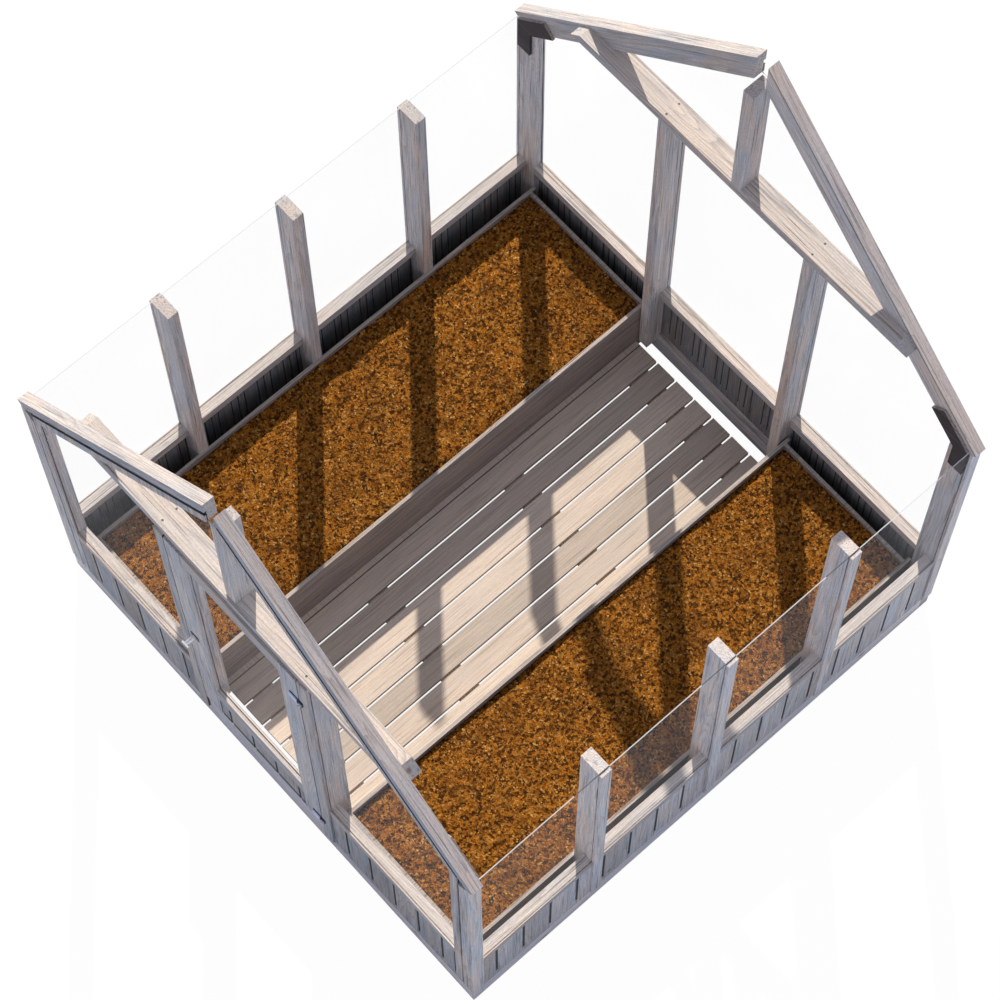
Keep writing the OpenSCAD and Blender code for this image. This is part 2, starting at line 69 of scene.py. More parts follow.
def addNode(tree, kind, inputs=None, **settings):
    made = tree.nodes.new(kind)
    for key, value in settings.items():
        setattr(made, key, value)
    for key, value in (inputs or {}).items():
        feed(tree, made.inputs[key], value)
    return made


def maths(tree, operation, a, b=0.0):
    return addNode(tree, "ShaderNodeMath", {0: a, 1: b}, operation=operation).outputs[0]


def absolute(tree, value):
    return maths(tree, "ABSOLUTE", value)


def above(tree, value, limit):
    return maths(tree, "GREATER_THAN", value, limit)


def below(tree, value, limit):
    return maths(tree, "LESS_THAN", value, limit)


def near(tree, value, middle, reach):
    # 1 where value lies less than reach from middle
    return below(tree, absolute(tree, maths(tree, "SUBTRACT", value, middle)), reach)


def allOf(tree, first, *others):
    # masks multiplied, so 1 only where each of them is 1
    for other in others:
        first = maths(tree, "MULTIPLY", first, other)
    return first


def split(tree, vector):
    made = addNode(tree, "ShaderNodeSeparateXYZ", {0: vector})
    return made.outputs[0], made.outputs[1], made.outputs[2]


def channel(tree, colour, which):
    return addNode(tree, "ShaderNodeSeparateColor", {0: colour}).outputs[which]


def rgba(colour):
    return (*colour, 1.0)


def blendColours(tree, amount, a, b, how="MIX"):
    made = addNode(tree, "ShaderNodeMix", {0: amount, 6: a, 7: b}, data_type="RGBA", blend_type=how)
    return made.outputs[2]


def shade(tree, colour, value):
    # the colour times one factor
    factor = addNode(tree, "ShaderNodeCombineColor", {0: value, 1: value, 2: value}).outputs[0]
    return blendColours(tree, 1.0, colour, factor, "MULTIPLY")


def tinted(tree, colour, tint, mask):
    # the colour times a tint, where the mask is 1
    return blendColours(tree, mask, colour, blendColours(tree, 1.0, colour, rgba(tint), "MULTIPLY"))


def spread(tree, value, low, high, toLow=0.0, toHigh=1.0):
    # straight line from low..high to toLow..toHigh, held at its ends
    made = addNode(tree, "ShaderNodeMapRange", {0: value, 1: low, 2: high, 3: toLow, 4: toHigh})
    return made.outputs[0]


def overNoise(tree, pattern, toLow, toHigh):
    # straight line from toLow to toHigh over the values that a noise mostly takes
    return spread(tree, pattern, 0.3, 0.7, toLow, toHigh)


def coat(tree, colour, pattern, start, full, share, paint):
    # paint over the colour: none where the pattern is at start, and its share of it at full
    return blendColours(tree, spread(tree, pattern, start, full, 0.0, share), colour, rgba(paint))


def noise(tree, where, scale, detail=3.0, rough=0.55):
    made = addNode(tree, "ShaderNodeTexNoise",
                   {"Vector": where, "Scale": scale, "Detail": detail, "Roughness": rough})
    return made.outputs["Fac"]


def cellNoise(tree, where, scale):
    return addNode(tree, "ShaderNodeTexVoronoi", {"Vector": where, "Scale": scale})


def placed(tree, where, scale=(1, 1, 1), turn=(0, 0, 0), shift=(0, 0, 0)):
    made = addNode(tree, "ShaderNodeMapping",
                   {"Vector": where, "Scale": scale, "Rotation": turn, "Location": shift})
    return made.outputs[0]


def newMaterial(name):
    made = bpy.data.materials.new(name)
    made.use_nodes = True
    tree = made.node_tree
    tree.nodes.clear()
    shader = tree.nodes.new("ShaderNodeBsdfPrincipled")
    output = tree.nodes.new("ShaderNodeOutputMaterial")
    tree.links.new(shader.outputs[0], output.inputs[0])
    return made, tree, shader, tree.nodes.new("ShaderNodeTexCoord")


def roughen(tree, shader, height, strength, distance):
    bump = addNode(tree, "ShaderNodeBump", {"Height": height, "Strength": strength, "Distance": distance})
    tree.links.new(bump.outputs[0], shader.inputs["Normal"])


# timber: turns that bring a piece's length onto X
lengthTurns = {"x": (0, 0, 0), "y": (0, 0, radians(-90)), "z": (0, radians(90), 0),
               "up": (0, radians(45), 0), "down": (0, radians(135), 0)}

# the common look: colours, then strengths, then the marks that only some pieces have. ring is the width of
# a growth step and figure how far slow loops bend it, grain the share of its dark line, knots the share of
# cells with a knot, sky how far faces that look up are lightened, partly as sun bleaching and partly as
# painted sunlight, and lift the brightness of the fibres. The groove colour is the near-black of painted
# shade in joints, rebates and gaps, inside a factor of painted shade on faces that look to the middle, and
# front a tint of painted shade on the front gable's faces that look to the front
weathered = {"pale": (0.66, 0.60, 0.565), "dark": (0.46, 0.445, 0.45), "cool": (0.445, 0.485, 0.545),
             "warm": (0.66, 0.545, 0.475), "bleachedAndSunlit": (0.76, 0.675, 0.60), "line": (0.36, 0.31, 0.29),
             "stain": (0.22, 0.225, 0.25), "knot": (0.26, 0.20, 0.165), "groove": (0.030, 0.028, 0.034),
             "thread": (0.82, 0.77, 0.73), "crack": (0.13, 0.115, 0.11),
             "ring": 0.012, "figure": 0.15, "grain": 0.6, "knots": 0.2, "sky": 0.62, "relief": 0.35,
             "inside": 1.0, "lift": 1.0, "speck": 0.16,
             "rebate": False, "bead": False, "gap": None, "seam": None, "front": None, "ends": None,
             "crest": None, "foot": None}

# each noise: squeeze along and across the grain, shift, detail, roughness
timberNoises = {"loops": (0.9, 11.0, (0, 0, 0), 1.0, 0.55), "ripples": (5.0, 40.0, (0, 0, 0), 2.0, 0.55),
                "fibres": (5.0, 280.0, (0, 0, 0), 4.0, 0.6), "streaks": (1.3, 48.0, (0, 0, 0), 4.0, 0.6),
                "patches": (2.4, 15.0, (3.0, 1.0, 5.0), 3.0, 0.6),
                "tints": (1.9, 12.0, (7.0, 3.0, 1.0), 3.0, 0.6),
                "stains": (2.6, 62.0, (1.0, 9.0, 2.0), 3.0, 0.55),
                "specks": (90.0, 260.0, (0, 0, 0), 3.0, 0.7),
                "threads": (2.4, 170.0, (4.0, 6.0, 8.0), 2.0, 0.55)}

# each coat of colour: its noise, where that starts, where it is full, and the share it covers there
timberCoats = {"pale": ("streaks", 0.36, 0.64, 1.0), "cool": ("patches", 0.45, 0.60, 0.85),
               "warm": ("tints", 0.50, 0.64, 0.85), "stain": ("stains", 0.57, 0.68, 0.62),
               "thread": ("threads", 0.62, 0.68, 0.55), "crack": ("threads", 0.37, 0.31, 0.75)}

# push is how far a knot moves the growth lines, slant how far they lean, and edge how sharply each line ends
growth = {"cells": (3.6, 8.0, 8.0), "knotHeart": 0.05, "knotRim": 0.11, "push": 0.035, "pushReach": 0.36,
          "slant": 0.62, "ripple": 0.012, "edge": 2.5}
# fibres and boards are the least and most of their factors, and rough a straight line over the streaks;
# skyFrom and skyFull bound the lightening of faces that look up, partly painted sunlight, and innerSide is
# where a face counts as an inner one for painted shade
weatherAndLight = {"skyFrom": 0.3, "skyFull": 0.9, "fibres": (0.78, 1.14), "boards": (0.82, 1.14),
           "knotShare": 0.85, "innerSide": -0.3, "rough": (0.2, 0.8, 0.72, 0.92), "gloss": 0.3,
           "bumpDepth": 0.003}
boardJump = (3.71, 1.37, 0.83)  # how far the pattern moves on from board to board
bumps = {"fibres": 0.6, "streaks": 0.7, "rings": -0.25, "knots": -0.3}  # their shares in the relief
# least part of a face's normal along an axis, for a face that lies flat on it, a sawn end and a chamfer
turnedTo = {"flat": 0.7, "end": 0.6, "chamfer": 0.2}
# where painted shade lies: middle is the depth halfway between the gables, rebate the way from there to the
# foot of a glass rebate, and beyond gable, to the front or the rear, lies only a gable's timber; share is
# how far the painted shade covers
shadeMarks = {"share": 0.88, "middle": 0.025, "rebate": 1.206, "rebateReach": 0.002, "gable": 1.15,
        "diagonal": 0.7071, "crestWidth": 0.010, "crestShare": 0.6, "gapReach": 0.003, "seamReach": 0.0025}


# Each pattern is a noise squeezed along the grain. Growth lines: the distance across the grain plus slow
# noises, cut into equal steps. Knots are rare Voronoi cells that push the lines aside.
def timberPatterns(tree, turned, look):
    found = {}
    for key, (long, wide, shift, detail, rough) in timberNoises.items():
        found[key] = noise(tree, placed(tree, turned, (long, wide, wide), shift=shift), 1.0, detail, rough)
    cells = cellNoise(tree, placed(tree, turned, growth["cells"]), 1.0)
    picked = below(tree, channel(tree, cells.outputs["Color"], 0), look["knots"])
    reach = cells.outputs["Distance"]
    heart = spread(tree, reach, growth["knotHeart"], growth["knotRim"], 1.0, 0.0)
    found["knots"] = allOf(tree, heart, picked)
    push = allOf(tree, spread(tree, reach, 0.0, growth["pushReach"], growth["push"], 0.0), picked)
    sideways, height = split(tree, turned)[1:]
    distance = maths(tree, "ADD", maths(tree, "MULTIPLY", height, growth["slant"]), sideways)
    for value in (maths(tree, "MULTIPLY", found["loops"], look["figure"]),
                  maths(tree, "MULTIPLY", found["ripples"], growth["ripple"]), push):
        distance = maths(tree, "ADD", distance, value)
    steps = maths(tree, "FRACT", maths(tree, "DIVIDE", distance, look["ring"]))
    found["rings"] = maths(tree, "POWER", steps, growth["edge"])
    return found


# Coats of colour over one another, with factors from the fibres, the specks and the board's own shade.
def timberColour(tree, look, found, facing, own):
    def laid(colour, key):
        source, start, full, share = timberCoats[key]
        return coat(tree, colour, found[source], start, full, share, look[key])

    colour = laid(laid(laid(rgba(look["dark"]), "pale"), "cool"), "warm")
    colour = coat(tree, colour, facing[2], weatherAndLight["skyFrom"], weatherAndLight["skyFull"], look["sky"],
                  look["bleachedAndSunlit"])  # faces that look up are lightened: partly sun bleaching, partly painted sunlight
    colour = blendColours(tree, maths(tree, "MULTIPLY", found["rings"], look["grain"]), colour,
                          rgba(look["line"]))
    colour = laid(colour, "stain")
    dim, bright = [value * look["lift"] for value in weatherAndLight["fibres"]]
    colour = shade(tree, colour, overNoise(tree, found["fibres"], dim, bright))
    colour = shade(tree, colour, overNoise(tree, found["specks"], 1.0 - look["speck"], 1.0 + look["speck"]))
    colour = laid(laid(colour, "thread"), "crack")
    if own is not None:
        colour = shade(tree, colour, spread(tree, own, 0.0, 1.0, *weatherAndLight["boards"]))
    return blendColours(tree, maths(tree, "MULTIPLY", found["knots"], weatherAndLight["knotShare"]), colour,
                        rgba(look["knot"]))


# Painted light and shade: some sides are darker or lighter than the rest, each a mask on place and facing.
def timberSides(tree, look, colour, place, facing):
    if look["inside"] < 1.0:  # faces that look to the middle of the room get painted shade
        inner = maths(tree, "ADD", maths(tree, "MULTIPLY", place[0], facing[0]),
                      maths(tree, "MULTIPLY", place[1], facing[1]))
        inner = below(tree, inner, weatherAndLight["innerSide"])
        colour = shade(tree, colour, spread(tree, inner, 0.0, 1.0, 1.0, look["inside"]))
    if look["front"]:  # faces of the front gable that look to the front get a darker, bluer tint: painted shade
        ahead = allOf(tree, below(tree, facing[1], -turnedTo["flat"]), below(tree, place[1], 0.0))
        colour = tinted(tree, colour, look["front"], ahead)
    if look["ends"]:  # faces that look up steeply: sawn ends, and also the falling rafter's top, which its look lightens as painted light
        colour = tinted(tree, colour, look["ends"], above(tree, facing[2], turnedTo["end"]))
    return colour


# Painted shade: joints, rebates, gaps and edges painted near-black where shade falls, the largest of their
# masks.
def timberPaintedShade(tree, look, place, facing):
    side, depth, height = absolute(tree, place[0]), place[1], place[2]
    sideways, ahead, up = [absolute(tree, part) for part in facing]
    masks = [above(tree, maths(tree, "MULTIPLY", sideways, ahead), turnedTo["chamfer"])]  # joints of boards: painted shade in their chamfers
    if look["rebate"]:  # painted shade at the foot of the glass rebate, 10 mm behind the gable's outer face
        fromMiddle = absolute(tree, maths(tree, "SUBTRACT", depth, shadeMarks["middle"]))
        foot = near(tree, fromMiddle, shadeMarks["rebate"], shadeMarks["rebateReach"])
        masks.append(allOf(tree, foot, above(tree, ahead, turnedTo["flat"])))
    if look["bead"]:  # painted shade on the sloping edges of the rafters' beads
        masks.append(above(tree, maths(tree, "MULTIPLY", sideways, up), turnedTo["chamfer"]))
    if look["crest"]:  # painted shadow line at the upper edge of the rear rafter's inner face; crest is its distance along x + z
        rise = maths(tree, "MULTIPLY", maths(tree, "ADD", place[0], height), shadeMarks["diagonal"])
        crest = allOf(tree, above(tree, rise, look["crest"] - shadeMarks["crestWidth"]),
                      below(tree, facing[1], -turnedTo["flat"]), above(tree, depth, shadeMarks["gable"]))
        masks.append(maths(tree, "MULTIPLY", crest, shadeMarks["crestShare"]))
    if look["foot"]:  # painted shade at the foot of the door's boards
        masks.append(below(tree, height, look["foot"]))
    if look["gap"]:  # painted shade on the cheeks of the narrow gap round the door leaf
        masks.append(allOf(tree, near(tree, side, look["gap"], shadeMarks["gapReach"]),
                           above(tree, sideways, turnedTo["flat"]), below(tree, depth, -shadeMarks["gable"])))
    if look["seam"]:  # painted shade in the joint between the floor's outer boards and their rims
        masks.append(near(tree, side, look["seam"], shadeMarks["seamReach"]))
    largest = masks[0]
    for mask in masks[1:]:
        largest = maths(tree, "MAXIMUM", largest, mask)
    return maths(tree, "MULTIPLY", largest, shadeMarks["share"])


# board is an axis, the place where the first board starts on it, and the pitch of the boards
def timberMaterial(name, length, changes=None, board=None):
    look = dict(weathered, **(changes or {}))
    made, tree, shader, coords = newMaterial(name)
    place, facing = split(tree, coords.outputs["Object"]), split(tree, coords.outputs["Normal"])
    turned = placed(tree, coords.outputs["Object"], turn=lengthTurns[length])
    own = None  # each board's own random number
    if board:  # each board gets its own piece of the pattern and its own shade
        axis, start, pitch = board
        steps = maths(tree, "DIVIDE", maths(tree, "SUBTRACT", place[axis], start), pitch)
        count = maths(tree, "FLOOR", steps)
        jumps = {i: maths(tree, "MULTIPLY", count, far) for i, far in enumerate(boardJump)}
        jump = addNode(tree, "ShaderNodeCombineXYZ", jumps).outputs[0]
        turned = addNode(tree, "ShaderNodeVectorMath", {0: turned, 1: jump}).outputs[0]
        own = addNode(tree, "ShaderNodeTexWhiteNoise", {"W": count}, noise_dimensions="1D").outputs["Value"]
    found = timberPatterns(tree, turned, look)
    colour = timberColour(tree, look, found, facing, own)
    colour = timberSides(tree, look, colour, place, facing)
    # near-black painted shade in joints, rebates and gaps
    shadeMask = timberPaintedShade(tree, look, place, facing)
    tree.links.new(blendColours(tree, shadeMask, colour, rgba(look["groove"])), shader.inputs["Base Color"])
    tree.links.new(spread(tree, found["streaks"], *weatherAndLight["rough"]), shader.inputs["Roughness"])
    shader.inputs["Specular IOR Level"].default_value = weatherAndLight["gloss"]
    height = 0.0
    for key, share in bumps.items():
        height = maths(tree, "ADD", height, maths(tree, "MULTIPLY", found[key], share))
    roughen(tree, shader, height, look["relief"], weatherAndLight["bumpDepth"])
    return made


def dress(nodeName, material):
    piece = nodes[nodeName]
    if not piece.material_slots:
        piece.data.materials.append(material)
    for place in piece.material_slots:
        place.material = material


# posts, studs, battens, rails, ties and sills
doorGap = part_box("door_stiles")[1][0] + 0.002  # from the part's middle to that of the gap by the leaf
uprightLook = {"gap": doorGap, "sky": 0.35, "ends": (0.90, 0.88, 0.87), "lift": 1.12,
               "pale": (0.67, 0.625, 0.60), "cool": (0.47, 0.505, 0.555), "dark": (0.48, 0.465, 0.47)}
# the front and right sills get a lighter copy: lift raises their shaded faces as painted light
sillPaintedLightLook = {"lift": 1.62, "sky": 0.4, "cool": (0.50, 0.50, 0.535), "warm": (0.62, 0.565, 0.55)}
post = timberMaterial("weatheredUpright", "z", uprightLook)
# a lighter copy of the upright timber for the right wall: painted light on its shaded faces
paintedLightUpright = timberMaterial("uprightPaintedLight", "z", dict(uprightLook, lift=1.36, ends=(0.96, 0.93, 0.91)))
strips = timberMaterial("weatheredStrips", "z", {"gap": doorGap, "bead": True})
corner = timberMaterial("weatheredCorner", "z", dict(uprightLook, gap=None, rebate=True))
across = timberMaterial("weatheredAcross", "x", {"bleachedAndSunlit": (0.84, 0.715, 0.605)})
along = timberMaterial("weatheredAlong", "y")
for name in nodes:
    if "post" in name and "hinge" not in name or "stud" in name or name in ("door_stiles", "door_stops"):
        dress(name, corner if name.startswith("corner") else post)
    if name.startswith("king") or "batten" in name:
        dress(name, post)
    if name.startswith("right_"):  # the wall nearest the viewer gets the lighter copy of the upright timber: painted light on its shaded faces
        dress(name, paintedLightUpright)
    if name.endswith("strips"):
        dress(name, strips)
    if name.startswith("tie_beam") or name in ("sill_rear", "rail_front", "rail_rear", "door_rails"):
        dress(name, across)
    if name in ("sill_left", "rail_left", "rail_right"):
        dress(name, along)
dress("sill_front", timberMaterial("sillFront", "x", sillPaintedLightLook))
dress("sill_right", timberMaterial("sillRight", "y", sillPaintedLightLook))

# rafters; the rear one's crest, where a painted shadow line runs, is a distance along x + z
# the front rafters' faces that look to the front get a tint of painted shade
rafterUp = timberMaterial("rafterRising", "up", {"rebate": True, "front": (0.80, 0.86, 0.94)})
low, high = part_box("rafter_rear_right")
# the falling rafter is a lighter copy: lift and ends light it and its top face as painted light, and front
# paints a darker, bluer shade on faces that look to the front
fallingLook = {"rebate": True, "lift": 1.3, "front": (0.56, 0.64, 0.74), "ends": (1.30, 1.22, 1.14),
               "crest": (low[0] + high[2]) * shadeMarks["diagonal"], "cool": (0.48, 0.50, 0.54)}
rafterDown = timberMaterial("rafterFalling", "down", fallingLook)
for end in ("front", "rear"):
    dress("rafter_%s_left" % end, rafterUp)
    dress("rafter_%s_right" % end, rafterDown)

# wall and door boards; gableFirst and sideFirst are the widths of the first boards, doorFoot the height of
# the band of painted shade at the foot of the door's boards, and inside darkens faces that look to the
# middle as painted shade
boardLook = {"pale": (0.56, 0.52, 0.50), "dark": (0.38, 0.37, 0.38), "cool": (0.375, 0.425, 0.48),
             "warm": (0.52, 0.45, 0.40), "knot": (0.20, 0.17, 0.15), "line": (0.27, 0.25, 0.25),
             "stain": (0.17, 0.175, 0.19), "thread": (0.66, 0.63, 0.61), "inside": 0.5}
boards = {"pitch": 0.1355, "gableFirst": 0.088, "sideFirst": 0.071, "doorStart": -1.007, "doorFoot": 0.036}
gableRow = (0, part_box("cladding_front")[0][0] + boards["gableFirst"], boards["pitch"])
sideRow = (1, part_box("cladding_right")[0][1] + boards["sideFirst"], boards["pitch"])
doorRow = (0, boards["doorStart"], boards["pitch"])
doorLook = dict(boardLook, foot=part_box("door_cladding")[0][2] + boards["doorFoot"], inside=1.0)
# the right wall's boards: a lighter copy, painted light on their shaded faces, with darker painted shade on
# faces that look inside
paintedLightBoardLook = dict(boardLook, lift=1.36, inside=0.4, cool=(0.41, 0.44, 0.475), dark=(0.42, 0.40, 0.405))
gableBoards = timberMaterial("gableBoards", "z", boardLook, gableRow)
dress("cladding_front", gableBoards)
dress("cladding_rear", gableBoards)
dress("cladding_left", timberMaterial("sideBoards", "z", boardLook, sideRow))
dress("cladding_right", timberMaterial("boardsPaintedLight", "z", paintedLightBoardLook, sideRow))
dress("door_cladding", timberMaterial("doorBoards", "z", doorLook, doorRow))

# floor; the seam is the joint between its outer boards and their rims, where a painted shade line runs
low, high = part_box("floor_boards")
floorLook = {"pale": (0.68, 0.575, 0.48), "dark": (0.60, 0.50, 0.42), "cool": (0.58, 0.52, 0.46),
             "warm": (0.70, 0.565, 0.45), "knot": (0.34, 0.25, 0.18), "bleachedAndSunlit": (0.72, 0.605, 0.50),
             "line": (0.42, 0.33, 0.26), "stain": (0.44, 0.36, 0.30), "thread": (0.74, 0.64, 0.54),
             "crack": (0.36, 0.28, 0.22), "knots": 0.06, "grain": 0.22, "ring": 0.009, "figure": 0.06,
             "seam": high[0], "speck": 0.08}
floorBoards = {"pitch": 0.110, "halfGap": 0.006}
floorRow = (0, low[0] - floorBoards["halfGap"], floorBoards["pitch"])
dress("floor_boards", timberMaterial("floorBoards", "y", floorLook, floorRow))
dress("floor_joists", timberMaterial("floorJoists", "x", floorLook))

# bed boards and liners: their wood is kept dark, partly as painted shade on their sides, while faces that
# look up are lightened
bedLook = {"pale": (0.37, 0.31, 0.28), "dark": (0.23, 0.19, 0.175), "cool": (0.28, 0.26, 0.265),
           "warm": (0.36, 0.28, 0.235), "knot": (0.13, 0.10, 0.08), "bleachedAndSunlit": (0.74, 0.64, 0.55),
           "line": (0.17, 0.135, 0.115), "stain": (0.12, 0.10, 0.10), "thread": (0.48, 0.41, 0.37),
           "crack": (0.08, 0.06, 0.055), "knots": 0.06}
bedSides = timberMaterial("bedSides", "y", bedLook)
for name in ("bed_board_left", "bed_board_right", "bed_liners"):
    dress(name, bedSides)

# gussets, stained dark, with faces that look up fully lightened: painted sunlight on their upper edges
gussetLook = {"pale": (0.070, 0.055, 0.060), "dark": (0.042, 0.035, 0.038), "cool": (0.06, 0.055, 0.066),
              "warm": (0.085, 0.064, 0.058), "knot": (0.03, 0.025, 0.02), "bleachedAndSunlit": (0.70, 0.62, 0.55),
              "line": (0.035, 0.028, 0.03), "stain": (0.03, 0.026, 0.028), "thread": (0.13, 0.105, 0.105),
              "crack": (0.02, 0.017, 0.017), "knots": 0.0, "sky": 1.0}
dress("gussets", timberMaterial("gussetPlates", "x", gussetLook))
print("timber dressed")


# glass: a faint pale film over the whole pane, partly the glass's own haze and partly painted reflection,
# and cut edges painted light as a painted reflection
pane = {"film": 0.030, "filmSwing": 0.25, "colour": (0.95, 0.95, 0.97), "filmNoise": (1.6, 1.6, 0.7),
        "edge": (0.66, 0.69, 0.70), "edgeFilm": 0.85, "edgeFacing": 0.6, "footFacing": -0.5,
        "dim": (0.05, 0.052, 0.06), "dimReach": 0.115, "rough": 0.06, "gloss": 0.8}


# across is the axis through the pane; faces that look any other way are its cut edges
def glassMaterial(name, across, posts=()):
    made, tree, shader, coords = newMaterial(name)
    place, facing = split(tree, coords.outputs["Object"]), split(tree, coords.outputs["Normal"])
    edge = below(tree, absolute(tree, facing[across]), pane["edgeFacing"])
    rim = rgba(pane["edge"])
    for node in posts:  # at a post, and a little in front of it, the cut edge is painted dark, a painted reflection of the post
        low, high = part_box(node)
        start = low[1] - pane["dimReach"]
        dim = near(tree, place[1], (start + high[1]) / 2, (high[1] - start) / 2)
        rim = blendColours(tree, dim, rim, rgba(pane["dim"]))
    tree.links.new(blendColours(tree, edge, rgba(pane["colour"]), rim), shader.inputs["Base Color"])
    filmNoise = noise(tree, placed(tree, coords.outputs["Object"], pane["filmNoise"]), 1.0)
    thin, thick = pane["film"] * (1 - pane["filmSwing"]), pane["film"] * (1 + pane["filmSwing"])
    film = overNoise(tree, filmNoise, thin, thick)
    film = addNode(tree, "ShaderNodeMix", {0: edge, 2: film, 3: pane["edgeFilm"]}).outputs[0]
    film = allOf(tree, film, above(tree, facing[2], pane["footFacing"]))  # a foot on wood stays clear
    tree.links.new(film, shader.inputs["Alpha"])
    shader.inputs["Roughness"].default_value = pane["rough"]
    shader.inputs["Specular IOR Level"].default_value = pane["gloss"]
    return made


dress("glass_left", glassMaterial("sideGlass", 0))
dress("glass_right", glassMaterial("sideGlassDim", 0, ["right_post_%d" % k for k in (1, 2, 3)]))
gableGlass = glassMaterial("gableGlass", 1)
for name in ("glass_front", "glass_rear", "door_glass"):
    dress(name, gableGlass)
print("glass dressed")


# metal fittings: worn spots from one noise, fine brushed lines from another
metals = {"latch_plate": {"name": "latchBlack", "colour": (0.03, 0.03, 0.034), "rough": 0.45,
                          "metallic": 0.0, "wear": 0.6},
          "latch_handle": {"name": "handleSteel", "colour": (0.80, 0.83, 0.89), "rough": 0.28,
                           "metallic": 0.85, "wear": 0.8},
          "frame_screws": {"name": "screwSteel", "colour": (0.10, 0.09, 0.09), "rough": 0.5,
                           "metallic": 0.8, "wear": 0.6}}
brushed = {"spots": (160.0, 4.0, 0.65), "wornFrom": 0.42, "wornFull": 0.66, "polished": 0.8, "dulled": 1.3,
           "lines": (900.0, 900.0, 60.0), "strength": 0.15, "depth": 0.0005}


def metalMaterial(name, colour, rough, metallic, wear):
    made, tree, shader, coords = newMaterial(name)
    spots = noise(tree, coords.outputs["Object"], *brushed["spots"])
    lines = noise(tree, placed(tree, coords.outputs["Object"], brushed["lines"]), 1.0, 2.0)
    worn = [part * wear for part in colour]
    colour = coat(tree, rgba(colour), spots, brushed["wornFrom"], brushed["wornFull"], 1.0, worn)
    tree.links.new(colour, shader.inputs["Base Color"])
    dull = overNoise(tree, spots, rough * brushed["polished"], rough * brushed["dulled"])
    tree.links.new(dull, shader.inputs["Roughness"])
    shader.inputs["Metallic"].default_value = metallic
    roughen(tree, shader, lines, brushed["strength"], brushed["depth"])
    return made


for name, metal in metals.items():
    dress(name, metalMaterial(**metal))


# hinge steel: a painted reflection, light sky blue on its front half and dark ground behind; split is the
# depth where it changes
hinge = {"dark": (0.012, 0.016, 0.045), "light": (0.42, 0.52, 0.80), "split": -1.2035,
         "scuffs": (240.0, 4.0, 0.65), "scuffShades": (0.75, 1.2), "scuffRough": (0.28, 0.49),
         "metallic": 0.3, "doorLeaves": 1.0, "postLeaves": 0.12}


# share is how much of the painted sky reflection the front half shows
def hingeMaterial(name, share):
    made, tree, shader, coords = newMaterial(name)
    place = split(tree, coords.outputs["Object"])
    scuffs = noise(tree, coords.outputs["Object"], *hinge["scuffs"])
    front = maths(tree, "MULTIPLY", below(tree, place[1], hinge["split"]), share)
    colour = blendColours(tree, front, rgba(hinge["dark"]), rgba(hinge["light"]))
    colour = shade(tree, colour, overNoise(tree, scuffs, *hinge["scuffShades"]))
    tree.links.new(colour, shader.inputs["Base Color"])
    tree.links.new(overNoise(tree, scuffs, *hinge["scuffRough"]), shader.inputs["Roughness"])
    shader.inputs["Metallic"].default_value = hinge["metallic"]
    return made


dress("door_hinge_leaves", hingeMaterial("hingeZinc", hinge["doorLeaves"]))
dress("post_hinge_leaves", hingeMaterial("hingePinSteel", hinge["postLeaves"]))
print("metal dressed")


# soil: lengths in metres, but mound and fineClod are shares of the larger forms, and clodMiddle is the
# mean of the clods, taken off them
soil = {"cell": 0.008, "level": 0.331, "swell": 0.014, "swellSize": 0.31, "mound": 0.7, "moundSize": 0.12,
        "clods": 0.008, "clodSize": 0.034, "fineClod": 0.6, "fineSize": 0.017, "clodMiddle": 0.4,
        "dip": 0.016, "dipWidth": 0.045, "footLift": 0.001}
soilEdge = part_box("soil_right")[0][0]  # half the distance between the beds


def smoothNoise(x, y, size, seed):
    # value noise: random numbers on a square grid, blended with a smooth step between them
    dice = np.random.default_rng(seed)
    side, away = 64, 100.0  # cells along the table, and a shift that keeps the cells' numbers positive
    table = dice.random((side, side))
    gx, gy = x / size + away, y / size + away
    ix, iy = np.floor(gx).astype(int), np.floor(gy).astype(int)
    fx, fy = gx - ix, gy - iy
    fx, fy = fx * fx * (3 - 2 * fx), fy * fy * (3 - 2 * fy)
    a, b = table[ix % side, iy % side], table[(ix + 1) % side, iy % side]
    c, d = table[ix % side, (iy + 1) % side], table[(ix + 1) % side, (iy + 1) % side]
    return (a * (1 - fx) + b * fx) * (1 - fy) + (c * (1 - fx) + d * fx) * fy


def soilHeight(x, y, seed):
    # long swells, hand-sized mounds and fine clods, added together
    height = soil["swell"] * (smoothNoise(x, y, soil["swellSize"], seed) - 0.5)
    height += soil["mound"] * soil["swell"] * (smoothNoise(x, y, soil["moundSize"], seed + 1) - 0.5)
    clod = smoothNoise(x, y, soil["clodSize"], seed + 2) ** 2
    clod += soil["fineClod"] * smoothNoise(x, y, soil["fineSize"], seed + 3) ** 2
    close = np.clip(1 - (np.abs(x) - soilEdge) / soil["dipWidth"], 0, 1)  # it sinks towards the aisle
    return soil["level"] + height + soil["clods"] * (clod - soil["clodMiddle"]) - soil["dip"] * close ** 2


def meshPiece(name, points, faces, material, body):
    mesh = bpy.data.meshes.new(name)
    mesh.from_pydata(points.tolist(), [], faces)
    mesh.update()
    mesh.materials.append(material)
    piece = bpy.data.objects.new(name, mesh)
    scene.collection.objects.link(piece)
    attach(piece, body)
    return piece


